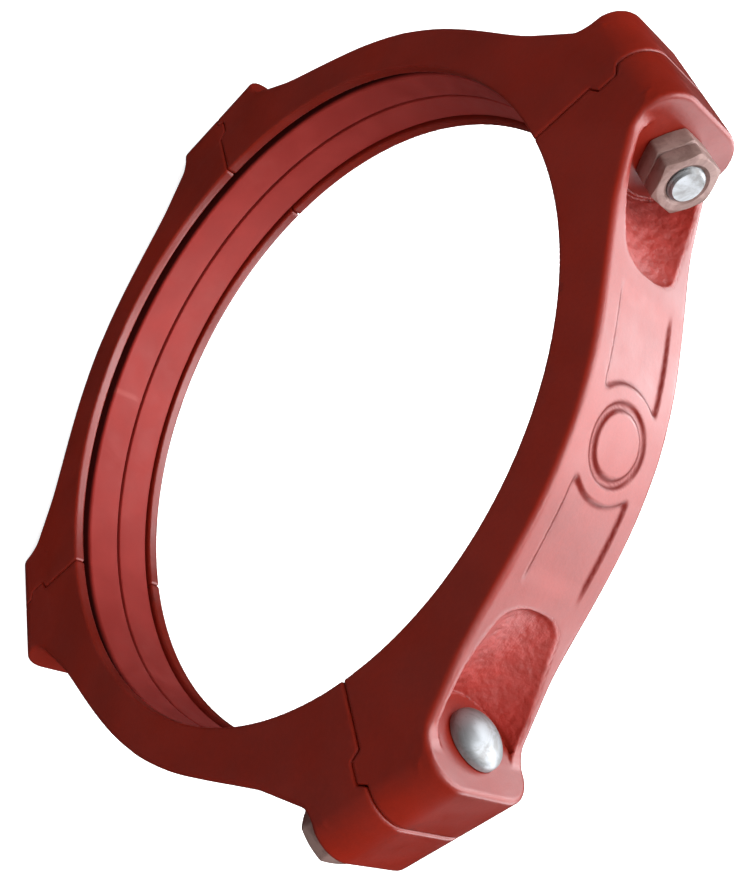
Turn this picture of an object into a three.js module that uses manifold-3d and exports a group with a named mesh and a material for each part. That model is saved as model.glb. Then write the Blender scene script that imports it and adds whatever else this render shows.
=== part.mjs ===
// Grooved pipe coupling, DN 450: four cast housing segments round one rubber gasket,
// pulled together by four track bolts, each with a nut and a lock nut.
// Millimetres. The ring's axis is Y and the origin is its centre, at mid width.
// The coupling stands on its rim: top segment at +Z, bottom segment at -Z.
import * as THREE from "three";
import { mergeVertices } from "three/addons/utils/BufferGeometryUtils.js";
import Module from "manifold-3d";

const wasm = await Module();
wasm.setup();

// Ring
const WIDTH = 76.5; // overall width of a housing along the ring's axis
const KEY_RADIUS = 225.8; // inner radius of the keys that sit in the pipe grooves
const KEY_WIDTH = 7.8;
const CAVITY_RADIUS = 242.5; // outer wall of the channel that holds the gasket
const OUTER_RADIUS = 254.8; // housing back between the bolt pads
const FACETS = 96; // round the whole ring
const STEP = (2 * Math.PI) / FACETS;

// Bolt pads, in a joint's own frame: z along the radius, x along the bolt, y along the ring's axis
const BOLT_RADIUS = 276; // ring axis to bolt axis
const PAD_OUTER = 306.5;
const PAD_HALF = 43; // joint plane to bearing face, along the bolt
const PAD_CORNER = 21; // rounding of the pad's two outer long edges
const JOINT_GAP = 0.8; // between two facing pads
const NECK_TOP = 279.5; // radius coordinate where the neck leaves the bearing face
const NECK_SLOPE = 0.8; // fall of the neck per millimetre along the bolt
const NECK_STRAIGHT = 28; // length of the neck along the bolt before it bends into the back
const NECK_BEND = 46; // where the neck's line would leave the bend
const EDGE = 2; // chamfer round the bearing face
const ARC_HALF_ANGLE = 5 * STEP; // plain back of the segment, each way from its centre

// Tongue at the head end of each segment, and the groove that takes it at the nut end
const TONGUE_DEPTH = 6.5;
const TONGUE_LOW = 266.5;
const TONGUE_HIGH = 285.5;
const TONGUE_DRAFT = 3.5;
const TONGUE_CLEARANCE = 0.45;

// Scoops that let a socket reach the nut and the bolt head
const SCOOP_RADIUS = 28.8; // at the bearing face
const SCOOP_FLARE = 0.125; // growth of that radius per millimetre away from the face
const SCOOP_TILT = 0.125; // radians, towards the ring's centre
const SCOOP_LENGTH = 62;
const SCOOP_FACETS = 36;

// Blank cast markings on the back
const MARK_DEPTH = 1;
const MEDALLION_OUTER = 22.4;
const MEDALLION_INNER = 17.6;
const PANEL_HALF_WIDTH = 23.5;
const PANEL_INNER_RADIUS = 31.5;
const PANEL_END = 84;
const CUTTER = 40; // height of the tools that cut the markings, more than they need

// Gasket
const LIP_RADIUS = 228.2;
const GASKET_OUTER = 241.7;
const GASKET_SHIFT = 3.1; // the gasket sits against the back keys, off mid width by this much
const SLIT = 2.2;

// M22 track bolt, nut and lock nut
const SHANK_RADIUS = 11;
const HOLE_RADIUS = 12.4;
const NECK_HALF = 14.8; // half the long side of the oval neck under the head
const NECK_DEPTH = 11;
const OVAL_CLEARANCE = 0.9;
const HEAD_RADIUS = 17.2;
const HEAD_HEIGHT = 11;
const BOLT_END = 70.5;
const BOLT_CHAMFER = 1.6;
const ACROSS_FLATS = 34;
const NUT_HEIGHT = 13.2;
const LOCK_NUT_HEIGHT = 11.6;
const SEAT_GAP = 0.3; // left between two pieces that rest on each other
const NUT_BORE = 11.25;
const NUT_TURN = 0.52; // radians that the nuts' corners stand from the radius

const redPaint = new THREE.MeshStandardMaterial({ color: 0xb8453f, roughness: 0.55, metalness: 0 });
const redRubber = new THREE.MeshStandardMaterial({ color: 0xb23c36, roughness: 0.7, metalness: 0 });
const zinc = new THREE.MeshStandardMaterial({ color: 0xc8ccd0, roughness: 0.35, metalness: 0.9 });
const nutZinc = new THREE.MeshStandardMaterial({ color: 0x9c8f8a, roughness: 0.4, metalness: 0.85 });

// A closed three.js geometry as a manifold-3d solid, with its faces turned outwards.
function solid(geometry) {
  const bare = geometry.index ? geometry.toNonIndexed() : geometry.clone();
  bare.deleteAttribute("normal");
  bare.deleteAttribute("uv");
  const merged = mergeVertices(bare, 1e-4);
  const whole = [];
  const index = merged.index.array;
  for (let i = 0; i < index.length; i += 3) {
    const [a, b, c] = [index[i], index[i + 1], index[i + 2]];
    if (a !== b && b !== c && a !== c) whole.push(a, b, c);
  }
  const make = (triVerts) =>
    new wasm.Manifold(
      new wasm.Mesh({
        numProp: 3,
        vertProperties: new Float32Array(merged.attributes.position.array),
        triVerts: new Uint32Array(triVerts),
      }),
    );
  const made = make(whole);
  if (made.volume() > 0) return made;
  for (let i = 0; i < whole.length; i += 3) [whole[i + 1], whole[i + 2]] = [whole[i + 2], whole[i + 1]];
  return make(whole);
}

function meshOf(name, shape, material) {
  const m = shape.getMesh();
  const points = new Float32Array(m.numVert * 3);
  for (let i = 0; i < m.numVert; i++) {
    points.set(m.vertProperties.subarray(i * m.numProp, i * m.numProp + 3), i * 3);
  }
  const geometry = new THREE.BufferGeometry();
  geometry.setAttribute("position", new THREE.BufferAttribute(points, 3));
  geometry.setIndex(new THREE.BufferAttribute(new Uint32Array(m.triVerts), 1));
  geometry.computeVertexNormals();
  const mesh = new THREE.Mesh(geometry, material);
  mesh.name = name;
  return mesh;
}

// A shape drawn in the ring's plane, x to +X and y to +Z, made `depth` thick about mid width.
function ringPlate(shape, depth) {
  const g = new THREE.ExtrudeGeometry(shape, { depth, bevelEnabled: false, curveSegments: 12 });
  g.rotateX(Math.PI / 2);
  g.translate(0, depth / 2, 0);
  return g;
}

// A shape whose x is the ring's axis and y the radius, made long along the bolt from `from` to `to`.
function alongBolt(shape, from, to) {
  const g = new THREE.ExtrudeGeometry(shape, { depth: to - from, bevelEnabled: false, curveSegments: 12 });
  g.applyMatrix4(new THREE.Matrix4().set(0, 0, 1, from, 1, 0, 0, 0, 0, 1, 0, 0, 0, 0, 0, 1));
  return g;
}

// A closed profile of [radius, along] pairs turned about the bolt axis.
function turnedOnBolt(profile, segments) {
  const g = new THREE.LatheGeometry(profile.map(([r, x]) => new THREE.Vector2(r, x)), segments);
  g.rotateZ(-Math.PI / 2);
  g.translate(0, 0, BOLT_RADIUS);
  return g;
}

// A ring of rectangular section about the ring's axis.
function ring(inner, outer, halfWidth) {
  const corners = [
    [inner, -halfWidth],
    [outer, -halfWidth],
    [outer, halfWidth],
    [inner, halfWidth],
    [inner, -halfWidth],
  ];
  return new THREE.LatheGeometry(corners.map(([r, y]) => new THREE.Vector2(r, y)), FACETS);
}

const rotateY = (geometry, angle) => geometry.clone().rotateY(angle);

// A point of a joint's frame (radius u, distance v into the segment) in the segment's plane.
// side is 1 at the head end, clockwise from the centre, and -1 at the nut end.
function fromJoint(side, u, v) {
  return new THREE.Vector2((side * (u - v)) / Math.SQRT2, (u + v) / Math.SQRT2);
}

// A point on the neck, which slopes down from the bearing face to the back.
function onNeck(side, distance) {
  return fromJoint(side, NECK_TOP - distance * NECK_SLOPE, PAD_HALF + distance);
}

const onRing = (radius, angle) => new THREE.Vector2(radius * Math.sin(angle), radius * Math.cos(angle));

// Outline of one end, from the key out over the joint face to the plain back.
function endOutline(side) {
  const face = JOINT_GAP / 2;
  const keyEnd = Math.sqrt(KEY_RADIUS ** 2 - face ** 2);
  const grow = side > 0 ? 0 : TONGUE_CLEARANCE;
  const tip = side > 0 ? -TONGUE_DEPTH : TONGUE_DEPTH + TONGUE_CLEARANCE;
  const points = [
    fromJoint(side, keyEnd, face),
    fromJoint(side, TONGUE_LOW - grow, face),
    fromJoint(side, TONGUE_LOW + TONGUE_DRAFT - grow, tip),
    fromJoint(side, TONGUE_HIGH - TONGUE_DRAFT + grow, tip),
    fromJoint(side, TONGUE_HIGH + grow, face),
    fromJoint(side, PAD_OUTER, face),
    fromJoint(side, PAD_OUTER, PAD_HALF - EDGE),
    fromJoint(side, PAD_OUTER - EDGE, PAD_HALF),
    fromJoint(side, NECK_TOP, PAD_HALF),
    onNeck(side, EDGE),
  ];
  const start = onNeck(side, NECK_STRAIGHT);
  const control = onNeck(side, NECK_BEND);
  const end = onRing(OUTER_RADIUS, side * ARC_HALF_ANGLE);
  return points.concat(new THREE.QuadraticBezierCurve(start, control, end).getPoints(6));
}

function housingOutline() {
  const outline = endOutline(-1);
  for (let k = -4; k <= 4; k++) outline.push(onRing(OUTER_RADIUS, k * STEP));
  outline.push(...endOutline(1).reverse());
  for (let k = FACETS / 8 - 1; k > -FACETS / 8; k--) outline.push(onRing(KEY_RADIUS, k * STEP));
  return new THREE.Shape(outline);
}

// The waste outside a pad's rounded long edge; face is 1 or -1 along the ring's axis.
function padCorner(face) {
  const half = WIDTH / 2;
  const waste = new THREE.Shape();
  waste.moveTo(face * (half + 1), PAD_OUTER - PAD_CORNER);
  for (let k = 0; k <= 6; k++) {
    const a = (k / 6) * (Math.PI / 2);
    const across = half - PAD_CORNER + PAD_CORNER * Math.cos(a);
    const out = PAD_OUTER - PAD_CORNER + PAD_CORNER * Math.sin(a);
    waste.lineTo(face * across, out);
  }
  waste.lineTo(face * (half - PAD_CORNER), PAD_OUTER + 1);
  waste.lineTo(face * (half + 1), PAD_OUTER + 1);
  return alongBolt(waste, -PAD_HALF - 1, PAD_HALF + 1);
}

// The tilted conical scoop, cut square at the bearing face; side as in fromJoint.
function scoop(side) {
  const growth = SCOOP_FLARE * SCOOP_LENGTH;
  const cone = new THREE.CylinderGeometry(
    SCOOP_RADIUS + growth,
    SCOOP_RADIUS - growth,
    2 * SCOOP_LENGTH,
    SCOOP_FACETS,
  );
  cone.rotateY(Math.PI / SCOOP_FACETS);
  cone.rotateZ((side * Math.PI) / 2);
  cone.rotateY(-side * SCOOP_TILT);
  cone.translate(-side * PAD_HALF, 0, BOLT_RADIUS);
  const block = new THREE.BoxGeometry(SCOOP_LENGTH, 2 * WIDTH, 2 * SCOOP_LENGTH);
  block.translate(-side * (PAD_HALF + SCOOP_LENGTH / 2), 0, BOLT_RADIUS);
  return solid(cone).intersect(solid(block));
}

function roundHole() {
  return turnedOnBolt([[0, -70], [HOLE_RADIUS, -70], [HOLE_RADIUS, 70], [0, 70]], 24);
}

// The oval of the bolt's neck, long side along the radius, grown all round by `grow`.
function oval(grow) {
  const r = SHANK_RADIUS + 0.2 + grow;
  const reach = NECK_HALF - SHANK_RADIUS - 0.2;
  const shape = new THREE.Shape();
  shape.absarc(0, BOLT_RADIUS + reach, r, 0, Math.PI, false);
  shape.absarc(0, BOLT_RADIUS - reach, r, Math.PI, 2 * Math.PI, false);
  shape.closePath();
  return shape;
}

// Medallion groove and two recessed panels, cut to an even depth below the curved back.
function markings() {
  const shell = solid(ring(OUTER_RADIUS - MARK_DEPTH, OUTER_RADIUS + CUTTER, WIDTH / 2));
  const disc = (radius) => {
    const g = new THREE.CylinderGeometry(radius, radius, CUTTER, 32);
    g.rotateX(Math.PI / 2);
    g.translate(0, 0, OUTER_RADIUS);
    return solid(g);
  };
  const band = new THREE.BoxGeometry(2 * PANEL_END, 2 * PANEL_HALF_WIDTH, CUTTER);
  band.translate(0, 0, OUTER_RADIUS);
  const panels = solid(band).subtract(disc(PANEL_INNER_RADIUS));
  const groove = disc(MEDALLION_OUTER).subtract(disc(MEDALLION_INNER));
  return panels.add(groove).intersect(shell);
}

function housing() {
  let body = solid(ringPlate(housingOutline(), WIDTH));
  body = body.subtract(solid(ring(KEY_RADIUS - 10, CAVITY_RADIUS, WIDTH / 2 - KEY_WIDTH)));
  body = body.subtract(markings());
  for (const side of [-1, 1]) {
    const angle = (side * Math.PI) / 4;
    for (const face of [-1, 1]) body = body.subtract(solid(rotateY(padCorner(face), angle)));
    body = body.subtract(scoop(side).transform(rotationY(angle)));
  }
  body = body.subtract(solid(rotateY(roundHole(), -Math.PI / 4)));
  body = body.subtract(solid(rotateY(alongBolt(oval(OVAL_CLEARANCE), -70, 20), Math.PI / 4)));
  return body;
}

function rotationY(angle) {
  return new THREE.Matrix4().makeRotationY(angle).elements;
}

// One lip-sealed ring: two sealing lips on the pipes with a slit between them, hollow behind.
function gasket() {
  const half = [
    [LIP_RADIUS + 5.2, SLIT / 2],
    [LIP_RADIUS, SLIT / 2],
    [LIP_RADIUS, 25.2],
    [LIP_RADIUS + 1.6, 26.3],
    [GASKET_OUTER - 3, 27],
    [GASKET_OUTER, 24],
  ];
  const hollow = [
    [LIP_RADIUS + 9.4, 18],
    [LIP_RADIUS + 5.6, 18],
  ];
  const mirror = ([r, y]) => [r, -y];
  const loop = [
    ...half,
    ...half.map(mirror).reverse(),
    ...hollow.map(mirror).reverse(),
    ...hollow,
    half[0],
  ];
  const g = new THREE.LatheGeometry(loop.map(([r, y]) => new THREE.Vector2(r, y)), FACETS);
  g.translate(0, GASKET_SHIFT, 0);
  return solid(g);
}

// Button head, oval neck and shank; the head is at -x and the threaded end at +x.
function bolt() {
  const seat = -PAD_HALF - SEAT_GAP;
  const head = [[0, seat], [HEAD_RADIUS - 0.6, seat], [HEAD_RADIUS, seat - 0.6], [HEAD_RADIUS, seat - 2]];
  for (let k = 1; k <= 5; k++) {
    const a = (k / 6) * (Math.PI / 2);
    head.push([HEAD_RADIUS * Math.cos(a), seat - 2 - (HEAD_HEIGHT - 2) * Math.sin(a)]);
  }
  head.push([0, seat - HEAD_HEIGHT]);
  const shank = [
    [0, seat - 1],
    [SHANK_RADIUS, seat - 1],
    [SHANK_RADIUS, BOLT_END - BOLT_CHAMFER],
    [SHANK_RADIUS - BOLT_CHAMFER, BOLT_END],
    [0, BOLT_END],
  ];
  const neck = solid(alongBolt(oval(0), seat - 1, seat + NECK_DEPTH));
  return solid(turnedOnBolt(head, 24)).add(neck).add(solid(turnedOnBolt(shank, 24)));
}

// A hexagon nut with both faces chamfered, from x = `from` to `from + height`.
function nut(from, height) {
  const across = ACROSS_FLATS / Math.sqrt(3);
  const to = from + height;
  const hex = new THREE.CylinderGeometry(across, across, height, 6);
  hex.rotateY(NUT_TURN);
  hex.rotateZ(-Math.PI / 2);
  hex.translate(from + height / 2, 0, BOLT_RADIUS);
  const round = [
    [0, from - 0.1],
    [ACROSS_FLATS / 2 - 0.6, from],
    [across + 0.2, from + 1.9],
    [across + 0.2, to - 1.9],
    [ACROSS_FLATS / 2 - 0.6, to],
    [0, to + 0.1],
  ];
  const bore = [
    [0, from - 1],
    [NUT_BORE + 2, from - 1],
    [NUT_BORE, from + 1],
    [NUT_BORE, to - 1],
    [NUT_BORE + 2, to + 1],
    [0, to + 1],
  ];
  return solid(hex).intersect(solid(turnedOnBolt(round, 24))).subtract(solid(turnedOnBolt(bore, 24)));
}

const coupling = new THREE.Group();
coupling.name = "grooved_coupling";

// Segments clockwise from the top, seen from the front (-Y).
const segment = housing();
for (const [k, place] of ["top", "right", "bottom", "left"].entries()) {
  const turned = new THREE.Group();
  turned.rotation.y = (k * Math.PI) / 2;
  turned.add(meshOf("housing_" + place, segment, redPaint));
  coupling.add(turned);
}

coupling.add(meshOf("gasket", gasket(), redRubber));

// Joints clockwise from the upper right; each bolt points clockwise.
const nutSeat = PAD_HALF + SEAT_GAP;
const lockSeat = nutSeat + NUT_HEIGHT + SEAT_GAP;
for (const [k, place] of ["upper_right", "lower_right", "lower_left", "upper_left"].entries()) {
  const joint = new THREE.Group();
  joint.rotation.y = Math.PI / 4 + (k * Math.PI) / 2;
  joint.add(meshOf("bolt_" + place, bolt(), zinc));
  joint.add(meshOf("nut_" + place, nut(nutSeat, NUT_HEIGHT), nutZinc));
  joint.add(meshOf("lock_nut_" + place, nut(lockSeat, LOCK_NUT_HEIGHT), nutZinc));
  coupling.add(joint);
}

export default coupling;
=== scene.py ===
"""Looks of a DN 450 grooved pipe coupling: painted castings, rubber gasket, zinc-plated track bolts and nuts.

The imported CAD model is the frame. Each CAD node is replaced by a finer mesh in the same place. Lengths are
millimetres until a mesh is made, and the ring's axis is Y, as in the CAD part.
"""
import math

import bmesh
import bpy
import numpy as np
from mathutils import Euler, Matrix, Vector


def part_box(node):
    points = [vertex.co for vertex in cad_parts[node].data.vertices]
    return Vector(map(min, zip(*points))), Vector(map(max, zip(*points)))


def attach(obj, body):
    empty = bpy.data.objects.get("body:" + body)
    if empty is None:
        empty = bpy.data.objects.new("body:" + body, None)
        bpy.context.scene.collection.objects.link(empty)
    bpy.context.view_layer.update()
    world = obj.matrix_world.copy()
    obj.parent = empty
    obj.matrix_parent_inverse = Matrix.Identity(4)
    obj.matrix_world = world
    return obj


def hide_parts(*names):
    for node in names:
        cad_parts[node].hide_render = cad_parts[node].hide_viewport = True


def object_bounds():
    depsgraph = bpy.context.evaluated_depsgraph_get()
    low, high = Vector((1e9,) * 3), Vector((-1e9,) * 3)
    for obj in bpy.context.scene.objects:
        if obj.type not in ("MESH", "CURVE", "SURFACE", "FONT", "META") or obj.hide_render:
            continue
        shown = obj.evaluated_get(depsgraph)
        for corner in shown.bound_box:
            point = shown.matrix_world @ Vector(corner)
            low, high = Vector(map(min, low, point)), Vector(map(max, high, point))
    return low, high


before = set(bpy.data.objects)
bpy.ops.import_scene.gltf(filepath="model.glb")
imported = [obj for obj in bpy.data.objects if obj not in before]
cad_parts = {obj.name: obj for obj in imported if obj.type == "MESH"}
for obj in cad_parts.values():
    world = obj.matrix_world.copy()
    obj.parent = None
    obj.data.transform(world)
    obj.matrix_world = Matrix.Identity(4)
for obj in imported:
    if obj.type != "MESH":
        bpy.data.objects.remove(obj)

cad_bounds = [list(corner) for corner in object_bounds()]

MM = 0.001

# Sizes read from the frame
ring_low, ring_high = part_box("housing_top")
WIDTH = (ring_high.y - ring_low.y) / MM
GASKET_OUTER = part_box("gasket")[1].x / MM

# Castings: a top segment centred on +Z, clockwise towards +X. Its bolt head is at the +X end.
KEY_RADIUS = 225.8
KEY_WIDTH = 7.8
CAVITY_RADIUS = 242.5
OUTER_RADIUS = 254.8
BOLT_RADIUS = 276.0
JOINT_GAP = 0.8

# Bolt pads, and the necks that run down from them to the segment's back
PAD_OUTER = 306.5
PAD_HALF = 43.0  # from the joint plane to the bearing face
PAD_CORNER = 21.0
NECK_TOP = 279.5
NECK_SLOPE = 0.8
NECK_OVERLAP = 6.0

# Tongue at the head end, and the groove for it at the nut end
TONGUE_DEPTH = 6.5
TONGUE_LOW, TONGUE_HIGH = 266.5, 285.5
TONGUE_DRAFT = 3.5
TONGUE_CLEARANCE = 0.45

# Scoops that clear the nut and the bolt head, and the step round the bearing face where it meets them
SCOOP_RADIUS = 28.8
SCOOP_FLARE, SCOOP_TILT = 0.125, 0.125
SCOOP_END = PAD_HALF + 61.0
LEDGE_WIDTH, LEDGE_DROP = 1.5, 1.9
LEDGE_TOP = 2.0  # how far out past the bolt axis the step runs

# Bolt holes: round at the nut end, oval at the head end
HOLE_RADIUS = 12.4
OVAL_HOLE_RADIUS, OVAL_REACH = 12.1, 3.6
HOLE_DEPTH = 60.0

# Blank marks on the back: a ring-shaped medallion groove, and a panel on each side of it
MEDALLION_RADIUS, MEDALLION_HALF = 20.0, 2.4
PANEL_END, PANEL_HALF_WIDTH, PANEL_INNER_RADIUS = 84.0, 23.5, 31.5
PANEL_CORNER = 4.5
PANEL_FADE = 14.0  # length over which the panels' ends run out
MARK_DEPTH = 1.5
MARK_SLOPE = (-1.1, 0.7)  # distances from a mark's outline between which its side slopes
MEDALLION_LINE = (0.6, 0.3, 2.2)  # line of painted shade: distance inside the outline, half width of its core, and in all
PANEL_LINE = (0.5, 0.3, 2.4)

# Roundings of the castings' edges and corners
PAD_EDGE = 2.6
NECK_FILLET = 6.0
BACK_FILLET = 10.0
RIM_EDGE = 3.8
PAD_SIDE_LOSS = 3.5  # how much less than RIM_EDGE the rounding is along the pads' sides
PAD_SIDE_RADII = (OUTER_RADIUS - 8, OUTER_RADIUS - 1)  # it changes between these radii,
PAD_SIDE_REACH = (PAD_HALF - 6, PAD_HALF + 4)  # and between these distances from the joint plane
KEY_EDGE = 1.1
CHANNEL_CORNER, CHANNEL_EDGE = 1.8, 0.7
JOINT_EDGE = 1.5
HOLE_EDGE = 0.7
SCOOP_END_CORNER, SCOOP_MOUTH_EDGE = 9.0, 0.6
BEARING_EDGE = 0.1
SCOOP_EDGE_GAIN = 1.4  # the scoop's edge is rounder by this beyond the bearing face,
SCOOP_EDGE_REACH = (PAD_HALF + 0.5, PAD_HALF + 5.0)  # growing between these distances from the joint plane

# Unevenness of the cast surface
SWELL, SWELL_LENGTH = 0.12, 47.0
COARSE_GRIT, COARSE_GRIT_LENGTH = 0.15, 13.0
FINE_GRIT, FINE_GRIT_LENGTH = 0.10, 5.3
GRIT_START = (1.0, 8.0)  # distances along a scoop between which its grit grows in,
TEXTURE_START = (0.5, 3.0)  # and between which its paint texture does
TEXTURE_REACH = (-2.4, -1.4)  # depths from the scoop's surface between which the texture fades in

# Grid that the castings' surface is meshed on: pitch, and the box of a top segment
CAST_CELL = 1.3
CAST_LOW = (-222.5, -WIDTH / 2 - 2, 157.0)
CAST_HIGH = (222.5, WIDTH / 2 + 2, OUTER_RADIUS + 3)
SLOPE_STEP = 0.04
LEAST_SLOPE_SQUARED = 0.04

# Gasket
GASKET_INNER = 228.2
GASKET_SHIFT = 3.1  # it sits against the back keys, off mid width
GASKET_SLIT = 2.2
GASKET_COLUMNS = 720
SEAM_ANGLE, SEAM_HALF_ANGLE, SEAM_HEIGHT = -0.11, 0.008, 0.2  # seam across the lips, and one opposite
LIP_DEPTH = 1.0  # the seam stands on the points less than this above the lips' bore
SIDE_START = 20.0  # distance from the gasket's mid width where its sides begin
SIDE_SHADE_START, SIDE_SHADE_FADE = 1.2, 1.5  # depth on the sides where the painted shade starts, and over which it fades in

# Bolt, nut and lock nut, along the bolt axis from the joint plane
SHANK_RADIUS = 11.0
HEAD_RADIUS, HEAD_HEIGHT = 17.2, 11.0
HEAD_RIM = 2.2
NECK_LENGTH = 10.0
BOLT_END = 70.5
BOLT_COLUMNS = 72
THREAD_START = 22.0
THREAD_DEPTH = 1.35
THREAD_CLEARANCE = 0.12
PITCH = 2.5
RINGS_PER_PITCH = 8
END_CHAMFER = 2.2
ACROSS_FLATS = 34.0
NUT_HEIGHT, LOCK_NUT_HEIGHT = 13.2, 11.6
NUT_BORE, NUT_SINK, NUT_SINK_DEPTH = 11.0, 12.6, 1.4
NUT_EDGE = 0.3
NUT_CHAMFER = 24  # degrees
NUT_TURN = 0.52  # radians
NUT_COLUMNS = 144
SEAT_GAP = 0.3

PLACES = ["top", "right", "bottom", "left"]
JOINTS = ["upper_right", "lower_right", "lower_left", "upper_left"]
BODY_OF_HOUSING = {"bottom": "base", "right": "right", "top": "top", "left": "left"}
BODY_OF_BOLT = {"upper_right": "top", "lower_right": "right", "lower_left": "base", "upper_left": "left"}


# ---------------------------------------------------------------- mesh tools


def mesh_object(name, points, faces, slot, flat_angle=None):
    """A mesh piece from points in millimetres and an array of quads, smooth up to flat_angle degrees."""
    mesh = bpy.data.meshes.new(name)
    faces = np.asarray(faces, np.int32)
    corners = faces.shape[1]
    mesh.vertices.add(len(points))
    mesh.vertices.foreach_set("co", (np.asarray(points, np.float32) * MM).ravel())
    mesh.loops.add(faces.size)
    mesh.loops.foreach_set("vertex_index", faces.ravel())
    mesh.polygons.add(len(faces))
    mesh.polygons.foreach_set("loop_start", np.arange(0, faces.size, corners, dtype=np.int32))
    mesh.update(calc_edges=True)
    mesh.validate()
    mesh.shade_smooth()
    if flat_angle is not None:
        mesh.set_sharp_from_angle(angle=math.radians(flat_angle))
    piece = bpy.data.objects.new(name, mesh)
    bpy.context.scene.collection.objects.link(piece)
    piece.data.materials.append(MATERIALS[slot])
    return piece


def add_masks(piece, masks):
    """Stores a value for every point of the mesh under each name, for the materials."""
    for name, values in masks.items():
        attribute = piece.data.attributes.new(name, "FLOAT", "POINT")
        attribute.data.foreach_set("value", values.astype(np.float32).reshape(-1))


def turned(points, angle):
    """Points turned about the ring's axis, clockwise seen from the front."""
    c, s = math.cos(angle), math.sin(angle)
    x, y, z = np.asarray(points, float).T
    return np.stack([c * x + s * z, y, -s * x + c * z], axis=1)


def ring_angles(columns, shift=0):
    """Angles of evenly spaced points round a ring, the first of them shifted by a share of their spacing."""
    return (np.arange(columns) + shift) / columns * 2 * math.pi


def closed_grid(rings, columns, closed_rings):
    """Quads of a grid of points, closed round each ring, and from the last ring to the first if asked."""
    i = np.arange(rings if closed_rings else rings - 1)[:, None]
    j = np.arange(columns)[None, :]
    here, up = i * columns, ((i + 1) % rings) * columns
    right = (j + 1) % columns
    quads = np.stack([here + j, here + right, up + right, up + j], axis=-1)
    return quads.reshape(-1, 4)


def surface_net(field, low, high, cell):
    """Points and quads of the surface where field is 0, with the solid where it is negative."""
    axes = [np.arange(a, b + cell, cell) for a, b in zip(low, high)]
    value = field(axes[0][:, None, None], axes[1][None, :, None], axes[2][None, None, :])
    inside = value < 0
    corners = [(i, j, k) for i in (0, 1) for j in (0, 1) for k in (0, 1)]
    nx, ny, nz = (n - 1 for n in value.shape)
    count = sum(inside[i : nx + i, j : ny + j, k : nz + k].astype(np.uint8) for i, j, k in corners)
    active = (count > 0) & (count < 8)
    index = np.full(active.shape, -1, np.int64)
    cells = np.argwhere(active)
    index[active] = np.arange(len(cells))
    total = np.zeros((len(cells), 3))
    crossings = np.zeros(len(cells))
    for a in corners:
        for axis in range(3):
            if a[axis]:
                continue
            b = tuple(v + (n == axis) for n, v in enumerate(a))
            va, vb = (value[tuple((cells + c).T)] for c in (a, b))
            cut = (va < 0) != (vb < 0)
            share = va[cut] / (va[cut] - vb[cut])
            total[cut] += np.array(a) + share[:, None] * (np.array(b) - np.array(a))
            crossings[cut] += 1
    points = np.array(low) + (cells + total / crossings[:, None]) * cell
    quads = []
    for axis in range(3):
        i, j = (axis + 1) % 3, (axis + 2) % 3
        near = [slice(1, -1)] * 3
        far = [slice(1, -1)] * 3
        near[axis], far[axis] = slice(0, -1), slice(1, None)
        change = inside[tuple(near)] != inside[tuple(far)]
        edge = np.argwhere(change) + np.array([0 if n == axis else 1 for n in range(3)])
        step_i, step_j = np.eye(3, dtype=int)[i], np.eye(3, dtype=int)[j]
        around = [edge, edge - step_i, edge - step_i - step_j, edge - step_j]
        quad = np.stack([index[tuple(c.T)] for c in around], axis=1)
        outward = inside[tuple(edge.T)]
        quad[~outward] = quad[~outward][:, ::-1]
        quads.append(quad)
    points = settle(field, points, cell)
    return points, np.concatenate(quads)


def gradient(field, points):
    """Slope of the field at each point."""
    x, y, z = points.T
    step = SLOPE_STEP
    return np.stack(
        [
            field(x + step, y, z) - field(x - step, y, z),
            field(x, y + step, z) - field(x, y - step, z),
            field(x, y, z + step) - field(x, y, z - step),
        ],
        axis=1,
    ) / (2 * step)


def settle(field, points, cell, rounds=3):
    """Moves points onto the surface along the field's slope, at most half a cell at a time."""
    for _ in range(rounds):
        slope = gradient(field, points)
        size = np.maximum((slope**2).sum(axis=1), LEAST_SLOPE_SQUARED)
        move = -(field(*points.T) / size)[:, None] * slope
        length = np.maximum(np.linalg.norm(move, axis=1), 1e-9)
        points = points + move * np.minimum(1, 0.5 * cell / length)[:, None]
    return points


def both(a, b, radius):
    """Common part of two solids, with its edge rounded."""
    corner = np.hypot(np.maximum(a + radius, 0), np.maximum(b + radius, 0))
    return np.minimum(np.maximum(a, b), -radius) + corner


def either(a, b, radius):
    """Two solids joined, with a fillet between them."""
    return -both(-a, -b, radius)


def without(a, b, radius):
    """Solid a with solid b cut from it, with the cut's edge rounded."""
    return both(a, -b, radius)


def ramp(value, low, high):
    """0 up to low and 1 from high on, with a smooth step between them."""
    t = np.clip((value - low) / (high - low), 0, 1)
    return t * t * (3 - 2 * t)


def ripple(x, y, z, wavelength):
    """A smooth, irregular, repeatable swell between about -1 and 1."""
    k = 2 * math.pi / wavelength
    a = np.sin(k * (x + 0.37 * z) + 1.3 * np.sin(0.61 * k * (y - 0.4 * x)))
    b = np.sin(k * (0.83 * y - 0.52 * x) + 1.7 * np.sin(0.47 * k * (z + 0.3 * y)))
    c = np.sin(k * (0.71 * z + 0.64 * y) + 1.1 * np.sin(0.53 * k * (x + 0.6 * z)))
    return (a + b + c) / 2.2


# ---------------------------------------------------------------- castings


def joint_place(x, z):
    """Distance u outwards along the nearer joint's plane, and v into the segment from that plane."""
    s = math.sqrt(0.5)
    return (z + np.abs(x)) * s, (z - np.abs(x)) * s


def scoop_field(u, v, y):
    """Cone that clears the nut or the bolt head, and the distance along it from the bearing face."""
    c, s = math.cos(SCOOP_TILT), math.sin(SCOOP_TILT)
    along = (v - PAD_HALF) * c - (u - BOLT_RADIUS) * s
    across = np.hypot((u - BOLT_RADIUS) * c + (v - PAD_HALF) * s, y)
    return (across - SCOOP_RADIUS - SCOOP_FLARE * along) / math.hypot(1, SCOOP_FLARE), along


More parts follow.
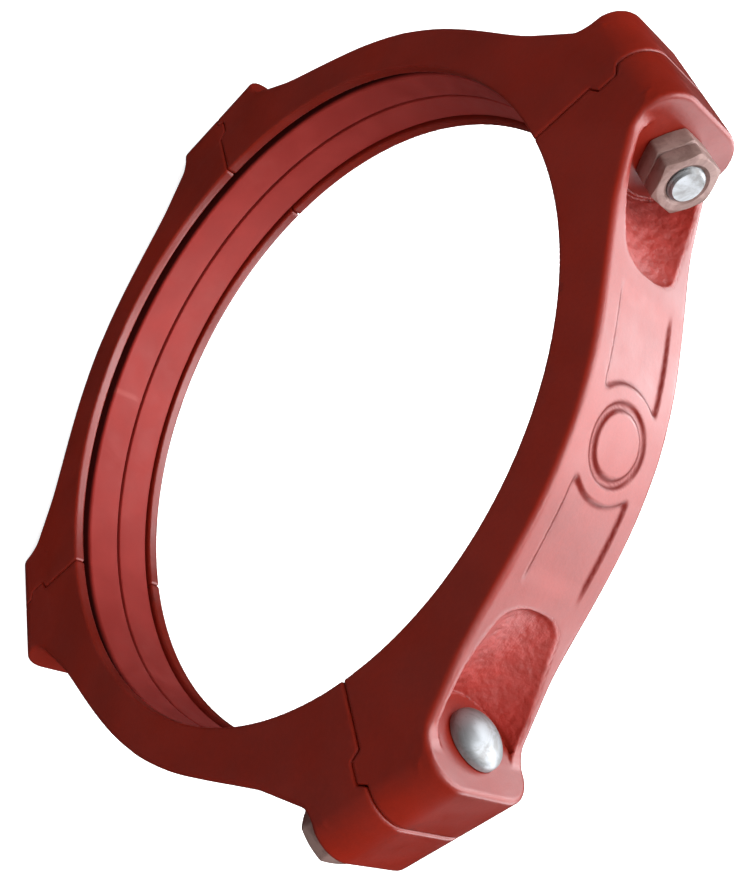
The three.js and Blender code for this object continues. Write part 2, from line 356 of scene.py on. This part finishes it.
def mark_outlines(x, y):
    """Distances from the medallion groove's and the panels' outlines, and the panels' share of depth."""
    from_centre = np.hypot(x, y)
    ring = np.abs(from_centre - MEDALLION_RADIUS) - MEDALLION_HALF
    panel = both(np.abs(y) - PANEL_HALF_WIDTH, PANEL_INNER_RADIUS - from_centre, PANEL_CORNER)
    return ring, panel, ramp(PANEL_END - np.abs(x), 0, PANEL_FADE)


def marks(x, y):
    """Depth of the blank medallion groove and panels below the back."""
    ring, panel, share = mark_outlines(x, y)
    ring_depth = 1 - ramp(ring, *MARK_SLOPE)
    panel_depth = (1 - ramp(panel, *MARK_SLOPE)) * share
    return MARK_DEPTH * np.maximum(ring_depth, panel_depth)


def outline_band(outline, inset, core, reach):
    """1 in a band that runs along inside an outline, fading to 0 at its edges."""
    return 1 - ramp(np.abs(outline + inset), core, reach)


def mark_shade_lines(points):
    """Painted shade on the back: 1 in the medallion groove and along the panels' edges, 0 elsewhere."""
    x, y, z = points.T
    ring, panel, share = mark_outlines(x, y)
    line = np.maximum(outline_band(panel, *PANEL_LINE) * share, outline_band(ring, *MEDALLION_LINE))
    return line * ramp(np.hypot(x, z), CAVITY_RADIUS + 4, CAVITY_RADIUS + 6)


def tongue(u, grow):
    """1 along the tongue's flat top, falling to 0 down its drafted sides."""
    edge = np.minimum(u - (TONGUE_LOW - grow), (TONGUE_HIGH + grow) - u)
    return np.clip(edge / TONGUE_DRAFT, 0, 1)


def lobe_field(u, v, y):
    """Bolt pad, and the neck that slopes down from it."""
    pad = both(u - PAD_OUTER, np.abs(y) - WIDTH / 2, PAD_CORNER)
    pad = both(pad, v - PAD_HALF, PAD_EDGE)
    neck = (u - NECK_TOP + NECK_SLOPE * (v - PAD_HALF)) / math.hypot(1, NECK_SLOPE)
    neck = np.maximum(neck, PAD_HALF - NECK_OVERLAP - v)
    return either(pad, neck, NECK_FILLET)


def end_field(x, u, v):
    """Joint face, with the tongue at the head end and the groove for it at the nut end."""
    face = JOINT_GAP / 2 - v
    head_end = face - (TONGUE_DEPTH + JOINT_GAP / 2) * tongue(u, 0)
    nut_end = face + (TONGUE_DEPTH + TONGUE_CLEARANCE - JOINT_GAP / 2) * tongue(u, TONGUE_CLEARANCE)
    return np.where(x > 0, head_end, nut_end)


def scoop_cut(x, y, z):
    """Gritty scoop behind the bearing face, joined to the ledge that drops from the face round it."""
    u, v = joint_place(x, z)
    cone, along = scoop_field(u, v, y)
    grit = COARSE_GRIT * ripple(x, y, z, COARSE_GRIT_LENGTH) + FINE_GRIT * ripple(z, x, y, FINE_GRIT_LENGTH)
    cone = both(cone + grit * ramp(along, *GRIT_START), v - SCOOP_END, SCOOP_END_CORNER)
    scoop = both(cone, PAD_HALF - v, SCOOP_MOUTH_EDGE)
    ledge = np.maximum(cone - LEDGE_WIDTH, PAD_HALF - LEDGE_DROP - v)
    beside_bolt = np.maximum(SCOOP_RADIUS - np.hypot(u - BOLT_RADIUS, y), u - BOLT_RADIUS - LEDGE_TOP)
    return np.minimum(scoop, np.maximum(ledge, beside_bolt))


def hole_field(x, y, u, v):
    """Bolt hole: oval at the head end, for the bolt's neck, and round at the nut end."""
    round_hole = np.hypot(u - BOLT_RADIUS, y) - HOLE_RADIUS
    oval_hole = np.hypot(np.maximum(np.abs(u - BOLT_RADIUS) - OVAL_REACH, 0), y) - OVAL_HOLE_RADIUS
    return np.maximum(np.where(x > 0, oval_hole, round_hole), v - HOLE_DEPTH)


def housing_field(x, y, z):
    """Field of the top segment: negative inside the casting, and close to a distance near its surface."""
    r = np.hypot(x, z)
    u, v = joint_place(x, z)
    half = WIDTH / 2
    side = np.abs(y)
    back = r - OUTER_RADIUS + marks(x, y)
    back = back + SWELL * ripple(x, y, z, SWELL_LENGTH)
    on_pad_side = ramp(r, *PAD_SIDE_RADII) * (1 - ramp(v, *PAD_SIDE_REACH))
    body = either(lobe_field(u, v, y), back, BACK_FILLET)
    body = both(body, side - half, RIM_EDGE - PAD_SIDE_LOSS * on_pad_side)
    body = without(body, r - KEY_RADIUS, KEY_EDGE)
    channel = both(r - CAVITY_RADIUS, side - (half - KEY_WIDTH), CHANNEL_CORNER)
    body = without(body, channel, CHANNEL_EDGE)
    body = both(body, end_field(x, u, v), JOINT_EDGE)
    body = without(body, scoop_cut(x, y, z), BEARING_EDGE + SCOOP_EDGE_GAIN * ramp(v, *SCOOP_EDGE_REACH))
    return without(body, hole_field(x, y, u, v), HOLE_EDGE)


def cast_texture(points):
    """0 on the smooth faces, 1 in the rough scoops, which are both rougher and painted lighter, as painted
    light.
    """
    x, y, z = points.T
    u, v = joint_place(x, z)
    cone, along = scoop_field(u, v, y)
    cone = both(cone, v - SCOOP_END, SCOOP_END_CORNER)
    return ramp(-np.abs(cone), *TEXTURE_REACH) * ramp(along, *TEXTURE_START)


def make_housings():
    """The four segments: one mesh, turned round the ring."""
    points, quads = surface_net(housing_field, CAST_LOW, CAST_HIGH, CAST_CELL)
    masks = {"scoop_rough_and_lit": cast_texture(points), "painted_mark_shade": mark_shade_lines(points)}
    for k, place in enumerate(PLACES):
        node = "housing_" + place
        piece = mesh_object("cast_segment_" + place, turned(points, k * math.pi / 2), quads, "housing_paint")
        add_masks(piece, masks)
        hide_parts(node)
        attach(piece, BODY_OF_HOUSING[place])


# ---------------------------------------------------------------- materials


class Nodes:
    """A material's node tree. Noise scales are cells per metre, and bump distances are metres."""

    def __init__(self, name):
        self.material = bpy.data.materials.new(name)
        self.material.use_nodes = True
        self.tree = self.material.node_tree
        self.tree.nodes.clear()
        out = self.tree.nodes.new("ShaderNodeOutputMaterial")
        self.shader = self.tree.nodes.new("ShaderNodeBsdfPrincipled")
        self.tree.links.new(self.shader.outputs["BSDF"], out.inputs["Surface"])
        self.place = self.add("ShaderNodeTexCoord").outputs["Object"]

    def add(self, kind, **settings):
        node = self.tree.nodes.new(kind)
        for key, value in settings.items():
            setattr(node, key, value)
        return node

    def put(self, value, socket):
        if isinstance(value, bpy.types.NodeSocket):
            self.tree.links.new(value, socket)
        else:
            socket.default_value = value

    def put_all(self, values, node):
        for key, value in values.items():
            self.put(value, node.inputs[key])

    def noise(self, scale, detail=4.0, roughness=0.55, distortion=0.0, vector=None):
        node = self.add("ShaderNodeTexNoise")
        self.put(vector or self.place, node.inputs["Vector"])
        self.put_all({"Scale": scale, "Detail": detail}, node)
        self.put_all({"Roughness": roughness, "Distortion": distortion}, node)
        return node.outputs["Fac"]

    def stretch(self, factors):
        node = self.add("ShaderNodeMapping")
        self.put(self.place, node.inputs["Vector"])
        node.inputs["Scale"].default_value = factors
        return node.outputs["Vector"]

    def ramp(self, value, low, high, to_low=0.0, to_high=1.0):
        node = self.add("ShaderNodeMapRange", interpolation_type="SMOOTHSTEP")
        self.put_all({"Value": value, "From Min": low, "From Max": high}, node)
        self.put_all({"To Min": to_low, "To Max": to_high}, node)
        return node.outputs["Result"]

    def math(self, operation, a, b=0.0):
        node = self.add("ShaderNodeMath", operation=operation)
        self.put(a, node.inputs[0])
        self.put(b, node.inputs[1])
        return node.outputs[0]

    def mix(self, share, a, b):
        node = self.add("ShaderNodeMix", data_type="RGBA")
        self.put(share, node.inputs[0])
        self.put(a, node.inputs[6])
        self.put(b, node.inputs[7])
        return node.outputs[2]

    def attribute(self, name):
        return self.add("ShaderNodeAttribute", attribute_name=name).outputs["Fac"]

    def bump(self, height, strength, distance, under=None):
        node = self.add("ShaderNodeBump")
        self.put(height, node.inputs["Height"])
        node.inputs["Strength"].default_value = strength
        node.inputs["Distance"].default_value = distance
        if under is not None:
            self.put(under, node.inputs["Normal"])
        return node.outputs["Normal"]

    def finish(self, **values):
        """Connects the shader's inputs, named with _ for each space, and gives the material."""
        self.put_all({key.replace("_", " "): value for key, value in values.items()}, self.shader)
        return self.material


def rgb(r, g, b):
    return (r, g, b, 1.0)


def grey(level):
    return rgb(level, level, level)


# Linear colours
PAINT_DARK, PAINT_LIGHT = rgb(0.205, 0.0125, 0.0052), rgb(0.258, 0.0140, 0.0051)
PAINT_FLECK, PAINT_GRAIN = rgb(0.275, 0.0165, 0.0068), rgb(0.165, 0.0095, 0.0042)
# painted light: a lighter red that stands in for light the scoops don't get
SCOOP_LIGHT_COLOUR = rgb(0.34, 0.026, 0.018)
# the second of these is painted shade, laid along the medallion groove and the panels' edges on the back
SMUDGE, MARK_PAINTED_SHADE = rgb(0.12, 0.0095, 0.0060), rgb(0.115, 0.0070, 0.0050)
BARE_IRON = rgb(0.42, 0.36, 0.31)
RUBBER_DARK, RUBBER_LIGHT = rgb(0.32, 0.026, 0.020), rgb(0.37, 0.034, 0.027)
DUST, SEAM_RUBBER = rgb(0.38, 0.075, 0.065), rgb(0.48, 0.10, 0.085)
# painted shade: near-black colour laid on the gasket's sides, where the gap beside the keys is in shadow
SIDE_SHADE_COLOUR = rgb(0.045, 0.0045, 0.0035)
BOLT_LIGHT, BOLT_DARK = rgb(0.27, 0.28, 0.29), rgb(0.17, 0.165, 0.16)
NUT_LIGHT, NUT_DARK = rgb(0.29, 0.185, 0.165), rgb(0.19, 0.11, 0.095)


def housing_paint():
    """Satin red paint: mottled, grainy and smudged, with painted light in the scoops, painted shade along the
    marks on the back, and chipped on sharp edges.
    """
    n = Nodes("red_paint_on_casting")
    rough = n.attribute("scoop_rough_and_lit")
    patches = n.noise(14.0, 3.0)
    flecks = n.noise(260.0, 5.0, 0.6)
    colour = n.mix(n.ramp(patches, 0.35, 0.68), PAINT_DARK, PAINT_LIGHT)
    colour = n.mix(n.ramp(flecks, 0.45, 0.75, to_high=0.35), colour, PAINT_FLECK)
    grain = n.ramp(n.noise(850.0, 3.0, 0.6), 0.4, 0.65, to_high=0.3)
    colour = n.mix(grain, colour, PAINT_GRAIN)
    # painted light: the scoops' red is lifted, to stand in for light that doesn't reach them
    scoop_light = n.math("MULTIPLY", rough, n.ramp(n.noise(120.0), 0.3, 0.7, to_low=1.0, to_high=0.55))
    colour = n.mix(scoop_light, colour, SCOOP_LIGHT_COLOUR)
    smudge = n.ramp(n.noise(26.0, 5.0, 0.7), 0.64, 0.74, to_high=0.6)
    colour = n.mix(smudge, colour, SMUDGE)
    # painted shade along the medallion groove and the panels' edges, where the sheen is also taken away below
    line_shade = n.ramp(n.noise(60.0, 3.0), 0.25, 0.6, to_low=0.5, to_high=0.85)
    line = n.math("MULTIPLY", n.attribute("painted_mark_shade"), line_shade)
    colour = n.mix(line, colour, MARK_PAINTED_SHADE)
    edge = n.add("ShaderNodeNewGeometry").outputs["Pointiness"]
    chip = n.math("MULTIPLY", n.ramp(edge, 0.545, 0.60), n.ramp(n.noise(95.0, 5.0, 0.7), 0.61, 0.66))
    colour = n.mix(chip, colour, BARE_IRON)
    gloss = n.ramp(n.noise(35.0), 0.3, 0.7, to_low=0.30, to_high=0.41)
    gloss = n.math("ADD", gloss, n.math("MULTIPLY", rough, 0.16))
    # less sheen along the lines of painted shade
    shine = n.math("MULTIPLY", n.math("SUBTRACT", 1.0, line), 0.5)
    orange_peel = n.math("ADD", n.noise(170.0, roughness=0.6), n.math("MULTIPLY", n.noise(620.0, 3.0), 0.35))
    surface = n.bump(orange_peel, 0.10, 0.0010)
    scoop_grit = n.math("MULTIPLY", n.noise(190.0, 5.0, 0.6), rough)
    surface = n.bump(scoop_grit, 0.6, 0.0020, surface)
    return n.finish(Base_Color=colour, Roughness=gloss, Normal=surface, Specular_IOR_Level=shine)


def gasket_rubber():
    """Matt rubber with red overspray and dust, and painted shade: its sides are darkened towards black."""
    n = Nodes("red_rubber")
    cloud = n.noise(30.0, 5.0, 0.6)
    painted_side_shade = n.attribute("painted_side_shade")
    colour = n.mix(n.ramp(cloud, 0.35, 0.7), RUBBER_DARK, RUBBER_LIGHT)
    dust = n.ramp(n.noise(9.0, 6.0, 0.65), 0.5, 0.75, to_high=0.3)
    colour = n.mix(dust, colour, DUST)
    colour = n.mix(n.math("MULTIPLY", n.attribute("seam"), 0.6), colour, SEAM_RUBBER)
    # painted shade: the gasket's sides are darkened towards black
    colour = n.mix(painted_side_shade, colour, SIDE_SHADE_COLOUR)
    gloss = n.ramp(n.noise(60.0), 0.3, 0.7, to_low=0.52, to_high=0.66)
    surface = n.bump(n.noise(900.0, 3.0, 0.6), 0.12, 0.0006)
    return n.finish(Base_Color=colour, Roughness=gloss, Normal=surface, Specular_IOR_Level=0.18)


def zinc(name, light, dark, metal, sheen, gloss_low, gloss_high):
    """Zinc plating: cloudy, finely pitted, and part covered by a dull film that isn't metallic."""
    n = Nodes(name)
    cloud = n.noise(70.0, 6.0, 0.65, 0.6)
    spot = n.noise(420.0, 4.0, 0.6)
    colour = n.mix(n.ramp(cloud, 0.38, 0.66), light, dark)
    colour = n.mix(n.ramp(spot, 0.6, 0.72, to_high=0.4), colour, dark)
    gloss = n.ramp(cloud, 0.3, 0.7, gloss_low, gloss_high)
    brushed = n.noise(1400.0, 2.0, 0.5, vector=n.stretch((1.0, 0.35, 1.0)))
    surface = n.bump(brushed, 0.10, 0.0004)
    surface = n.bump(cloud, 0.12, 0.0010, surface)
    n.finish(Metallic=metal, Specular_IOR_Level=sheen)
    return n.finish(Base_Color=colour, Roughness=gloss, Normal=surface)


def bolt_zinc():
    return zinc("bright_zinc", BOLT_LIGHT, BOLT_DARK, metal=0.60, sheen=0.5, gloss_low=0.40, gloss_high=0.54)


def nut_zinc():
    return zinc("dull_zinc", NUT_LIGHT, NUT_DARK, metal=0.14, sheen=0.25, gloss_low=0.42, gloss_high=0.54)


MATERIALS = {make.__name__: make() for make in (housing_paint, gasket_rubber, bolt_zinc, nut_zinc)}


# ---------------------------------------------------------------- gasket


def arc(cx, cy, radius, start, end, count=6):
    """Points on an arc, as [radius from the ring's axis, y] pairs."""
    angles = np.radians(np.linspace(start, end, count))
    return [[cx + radius * math.cos(a), cy + radius * math.sin(a)] for a in angles]


def gasket_profile():
    """Closed section of the gasket: two sealing lips with a slit between them, and a chamber behind them."""
    lip, outer, slit = GASKET_INNER, GASKET_OUTER, GASKET_SLIT / 2
    lip_thickness, slit_edge = 5.0, 0.9
    lip_edge, lip_edge_y = 1.7, 24.3
    side_low, side_high = [lip + 3.4, 26.3], [lip + 8.0, 26.9]
    shoulder, shoulder_y = 2.6, 24.4
    half = [[lip + lip_thickness, slit], [lip + 3.0, slit]]
    half += arc(lip + slit_edge, slit + slit_edge, slit_edge, 270, 180)
    half += [[lip, 8.0], [lip, 16.0]]  # along the bore, to keep its quads short
    half += arc(lip + lip_edge, lip_edge_y, lip_edge, 180, 112)
    half += [side_low, side_high]
    half += arc(outer - shoulder, shoulder_y, shoulder, 80, 0)
    mirror = [[r, -y] for r, y in half]
    chamber_low, chamber_high, chamber_half, corner = lip + 5.6, lip + 9.4, 18.2, 0.6
    chamber = [
        [chamber_high, chamber_half - corner],
        [chamber_high - corner, chamber_half],
        [chamber_low + corner, chamber_half],
        [chamber_low, chamber_half - corner],
    ]
    return half + mirror[::-1] + [[r, -y] for r, y in reversed(chamber)] + chamber


def make_gasket():
    """The ring turned from its section, with its seams, and masks for the painted shade on its sides and for
    its pale front seam.
    """
    profile = np.array(gasket_profile())
    angles = ring_angles(GASKET_COLUMNS)
    r = profile[:, 0][:, None]
    seam = SEAM_HEIGHT * np.exp(-((np.sin(angles - SEAM_ANGLE) / SEAM_HALF_ANGLE) ** 2))
    r = r - seam[None, :] * (r < GASKET_INNER + LIP_DEPTH)
    y = np.repeat(profile[:, 1][:, None] + GASKET_SHIFT, GASKET_COLUMNS, axis=1)
    x, z = r * np.sin(angles), r * np.cos(angles)
    points = np.stack([x, y, z], axis=-1).reshape(-1, 3)
    quads = outward(points, closed_grid(len(profile), GASKET_COLUMNS, True))
    piece = mesh_object("rubber_gasket", points, quads, "gasket_rubber", flat_angle=40)
    # mask of the painted shade on the gasket's sides, growing with depth below the lips
    on_side = np.abs(y - GASKET_SHIFT) > SIDE_START
    depth = np.where(on_side, r - GASKET_INNER - SIDE_SHADE_START, 0)
    front_seam = seam[None, :] / SEAM_HEIGHT * (y < 0)
    add_masks(piece, {"painted_side_shade": ramp(depth, 0.0, SIDE_SHADE_FADE), "seam": front_seam})
    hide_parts("gasket")
    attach(piece, "base")


def outward(points, quads):
    """The quads, reversed if their closed surface faces inwards."""
    p = np.asarray(points, float)[quads]
    volume = 0.0
    for a, b, c in ((0, 1, 2), (0, 2, 3)):
        volume += np.einsum("ij,ij->", p[:, a], np.cross(p[:, b], p[:, c]))
    return quads if volume > 0 else quads[:, ::-1]


# ---------------------------------------------------------------- bolts and nuts


def about_bolt(radius, along, angles):
    """Points round the bolt axis, in a joint's frame: x along the bolt, z along the ring's radius."""
    x = along + 0 * angles
    y = radius * np.sin(angles)
    z = BOLT_RADIUS + radius * np.cos(angles)
    return np.stack([x, y, z], axis=-1)


def thread_radius(along, angles):
    """Radius of the rolled thread, which grows in over its first turn and is chamfered at the bolt's end."""
    flank_slope, root_flat, end_slope = 1.35, 0.12, 0.9
    phase = (along / PITCH - angles / (2 * math.pi)) % 1.0
    height = 1 - np.abs(2 * phase - 1)
    crest = np.clip(flank_slope * height - root_flat, 0, 1)
    depth = THREAD_DEPTH * ramp(along, THREAD_START, THREAD_START + PITCH)
    radius = SHANK_RADIUS - THREAD_CLEARANCE - depth * (1 - crest)
    return np.minimum(radius, SHANK_RADIUS - END_CHAMFER + end_slope * (BOLT_END - along))


def bolt_mesh():
    """Domed head, short oval neck, shank and rolled thread: a tube of rings, open at both ends."""
    angles = ring_angles(BOLT_COLUMNS)
    seat = -PAD_HALF - SEAT_GAP
    rings = []

    def ring(radius, along):
        rings.append(about_bolt(radius + 0 * angles, along + 0 * angles, angles))

    tip, dome_fullness, head_edge = 0.25, 0.86, 0.5
    for a in np.radians(np.linspace(90, 0, 15)):
        dome_radius = HEAD_RADIUS * math.cos(a) ** dome_fullness
        ring(max(dome_radius, tip), seat - HEAD_RIM - (HEAD_HEIGHT - HEAD_RIM) * math.sin(a))
    ring(HEAD_RADIUS, seat - HEAD_RIM / 2)
    ring(HEAD_RADIUS, seat - head_edge)
    ring(HEAD_RADIUS - head_edge, seat)
    neck_clearance, neck_sharpness = 0.2, 1.6
    oval = SHANK_RADIUS + neck_clearance + OVAL_REACH * np.abs(np.cos(angles)) ** neck_sharpness
    for along in (seat, seat + 0.6, seat + NECK_LENGTH):
        ring(oval, along)
    ring(SHANK_RADIUS, seat + NECK_LENGTH + 1.0)
    ring(SHANK_RADIUS - 0.1, THREAD_START - 1.5)
    steps = int((BOLT_END - THREAD_START) / PITCH * RINGS_PER_PITCH)
    for along in np.linspace(THREAD_START, BOLT_END, steps + 1):
        ring(thread_radius(along, angles), along)
    for share in (0.7, 0.35, 0.03):
        ring((SHANK_RADIUS - END_CHAMFER) * share, BOLT_END - 0.05 * share)
    return np.concatenate(rings), closed_grid(len(rings), BOLT_COLUMNS, False)


def nut_mesh(start, height):
    """Hexagon nut with chamfered faces and a countersunk bore, as a closed ring of rings."""
    angles = ring_angles(NUT_COLUMNS, 0.5)
    flat = ACROSS_FLATS / 2
    wedge = (angles - NUT_TURN) % (math.pi / 3) - math.pi / 6
    hexagon = flat / np.cos(wedge)
    corner = flat / math.cos(math.pi / 6)
    hexagon = np.minimum(hexagon, corner - NUT_EDGE)
    face = flat - 0.2
    chamfer = (hexagon - face) * math.tan(math.radians(NUT_CHAMFER))
    half_section = [
        (NUT_BORE, NUT_SINK_DEPTH),
        (NUT_SINK, 0.25),
        (NUT_SINK + NUT_EDGE, 0.0),
        (face - NUT_EDGE, 0.0),
        (face, 0.1),
        (hexagon - 0.15, chamfer + 0.1),
        (hexagon, chamfer + 0.45),
    ]
    rows = [(radius, start + depth) for radius, depth in half_section]
    rows += [(radius, start + height - depth) for radius, depth in reversed(half_section)]
    zero = 0 * angles
    points = np.concatenate([about_bolt(radius + zero, along + zero, angles) for radius, along in rows])
    return points, closed_grid(len(rows), NUT_COLUMNS, True)


def make_fasteners():
    """A track bolt, a nut and a lock nut at each joint."""
    bolt_points, bolt_quads = bolt_mesh()
    bolt_quads = outward(bolt_points, bolt_quads)
    nut_start = PAD_HALF + SEAT_GAP
    lock_start = nut_start + NUT_HEIGHT + SEAT_GAP
    nuts = {
        "nut_": nut_mesh(nut_start, NUT_HEIGHT),
        "lock_nut_": nut_mesh(lock_start, LOCK_NUT_HEIGHT),
    }
    for k, place in enumerate(JOINTS):
        angle = math.pi / 4 + k * math.pi / 2
        points = turned(bolt_points, angle)
        bolt = mesh_object("track_bolt_" + place, points, bolt_quads, "bolt_zinc", flat_angle=35)
        close_ends(bolt)
        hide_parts("bolt_" + place)
        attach(bolt, BODY_OF_BOLT[place])
        for kind, (nut_points, nut_quads) in nuts.items():
            points = turned(nut_points, angle)
            quads = outward(points, nut_quads)
            nut = mesh_object("hex_" + kind + place, points, quads, "nut_zinc", flat_angle=25)
            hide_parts(kind + place)
            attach(nut, kind + place)


def close_ends(piece):
    """Fills the two small open ends of a bolt."""
    mesh = bmesh.new()
    mesh.from_mesh(piece.data)
    bmesh.ops.holes_fill(mesh, edges=[e for e in mesh.edges if e.is_boundary], sides=0)
    mesh.to_mesh(piece.data)
    mesh.free()


# ---------------------------------------------------------------- stage

# In metres
FLOOR_SIZE = 6.0
FLOOR_NEAR, FLOOR_FAR = 0.6, 2.0  # distances from the floor's centre between which it brightens,
FLOOR_GLOW_NEAR, FLOOR_GLOW_FAR = 0.75, 1.0  # and its glow there, which only the camera sees
LIGHT_DISTANCE = 2.0

# Sources of even light, which don't show in mirror reflections: direction, width, height, radiance
FILLS = {
    "overhead": ((0.0, -0.08, 1.0), 3.8, 2.4, 3.75),
    "front": ((0.2, -1.0, 0.5), 2.4, 1.8, 0.16),
    "back": ((0.1, 1.0, 0.35), 2.4, 1.6, 1.1),
}
# Panels that only show as sheen on the painted and plated surfaces: the same four values
PANELS = {
    "back_left": ((-0.62, 0.69, 0.42), 1.5, 1.0, 5.9),
    "back_high": ((-0.16, 0.78, 0.60), 1.6, 1.2, 5.2),
    "back_right": ((0.50, 0.76, 0.46), 1.2, 1.0, 7.0),
    "top": ((-0.2, 0.3, 1.0), 1.6, 1.6, 7.0),
}
FILL_TINT, SHEEN_TINT = (1.0, 1.0, 1.0), (0.93, 0.96, 1.0)
WORLD_SEEN, WORLD_DIFFUSE = 1.0, 0.12  # brightness of the surroundings to the camera, and as light

CAMERA_PLACE = (0.1156, -0.4600, 0.6190)
CAMERA_TURN = (-9.457, -39.809, 115.875)  # degrees about X, Y and Z
CAMERA_LENS, CAMERA_SENSOR = 46.66, 36.0  # millimetres


def make_stage():
    """A pale floor that shows almost white, and is dim in mirror reflections, as a matt sheet is."""
    bpy.ops.mesh.primitive_plane_add(size=FLOOR_SIZE, location=(0, 0, cad_bounds[0][2]))
    floor = bpy.context.object
    floor.name = "floor"
    n = Nodes("pale_floor")
    path = n.add("ShaderNodeLightPath").outputs
    tone = n.mix(n.noise(3.0, 2.0), grey(0.90), grey(0.93))
    tone = n.mix(path["Is Diffuse Ray"], tone, grey(0.40))
    tone = n.mix(path["Is Glossy Ray"], tone, grey(0.004))
    reach = n.add("ShaderNodeVectorMath", operation="LENGTH")
    n.put(n.place, reach.inputs[0])
    level = n.ramp(reach.outputs["Value"], FLOOR_NEAR, FLOOR_FAR, FLOOR_GLOW_NEAR, FLOOR_GLOW_FAR)
    glow = n.math("MULTIPLY", path["Is Camera Ray"], level)
    n.finish(Base_Color=tone, Roughness=0.9, Specular_IOR_Level=0.0)
    n.finish(Emission_Color=grey(1.0), Emission_Strength=glow)
    floor.data.materials.append(n.material)


def area_light(name, toward, width, height, radiance, sheen):
    """A soft rectangular light facing the ring's centre, that gives either only sheen or only even light.

    An area light's power is its radiance times pi times its area.
    """
    data = bpy.data.lights.new(name, "AREA")
    data.shape = "RECTANGLE"
    data.size, data.size_y = width, height
    data.energy = radiance * math.pi * width * height
    data.color = SHEEN_TINT if sheen else FILL_TINT
    light = bpy.data.objects.new(name, data)
    bpy.context.scene.collection.objects.link(light)
    back = Vector(toward).normalized()
    light.location = back * LIGHT_DISTANCE
    light.rotation_euler = (-back).to_track_quat("-Z", "Y").to_euler()
    light.visible_glossy = sheen
    light.visible_diffuse = not sheen


def make_lights():
    """Even fills first, then the panels that give the sheen."""
    for name, values in FILLS.items():
        area_light("fill_" + name, *values, sheen=False)
    for name, values in PANELS.items():
        area_light("panel_" + name, *values, sheen=True)


def make_world():
    """White surroundings, seen in full by the camera, that give a little light and show in no mirror.

    The plain view transform keeps their white, and the paint's colours, as they are.
    """
    world = bpy.data.worlds.new("soft_studio")
    bpy.context.scene.world = world
    world.use_nodes = True
    tree = world.node_tree
    path = tree.nodes.new("ShaderNodeLightPath")
    strength = tree.nodes.new("ShaderNodeMapRange")
    strength.inputs["To Min"].default_value = WORLD_DIFFUSE
    strength.inputs["To Max"].default_value = WORLD_SEEN
    tree.links.new(path.outputs["Is Camera Ray"], strength.inputs["Value"])
    tree.links.new(strength.outputs["Result"], tree.nodes["Background"].inputs["Strength"])
    tree.nodes["Background"].inputs["Color"].default_value = grey(1.0)
    world.cycles.sampling_method = "NONE"
    world.cycles_visibility.glossy = False
    bpy.context.scene.view_settings.view_transform = "Standard"


def make_camera():
    """Looks down on the standing ring from its front right, rolled so that its top is to the right."""
    data = bpy.data.cameras.new("camera")
    data.lens = CAMERA_LENS
    data.sensor_width = CAMERA_SENSOR
    camera = bpy.data.objects.new("camera", data)
    bpy.context.scene.collection.objects.link(camera)
    camera.location = CAMERA_PLACE
    camera.rotation_euler = Euler([math.radians(angle) for angle in CAMERA_TURN])
    bpy.context.scene.camera = camera


make_housings()
make_gasket()
make_fasteners()
make_stage()
make_lights()
make_world()
make_camera()
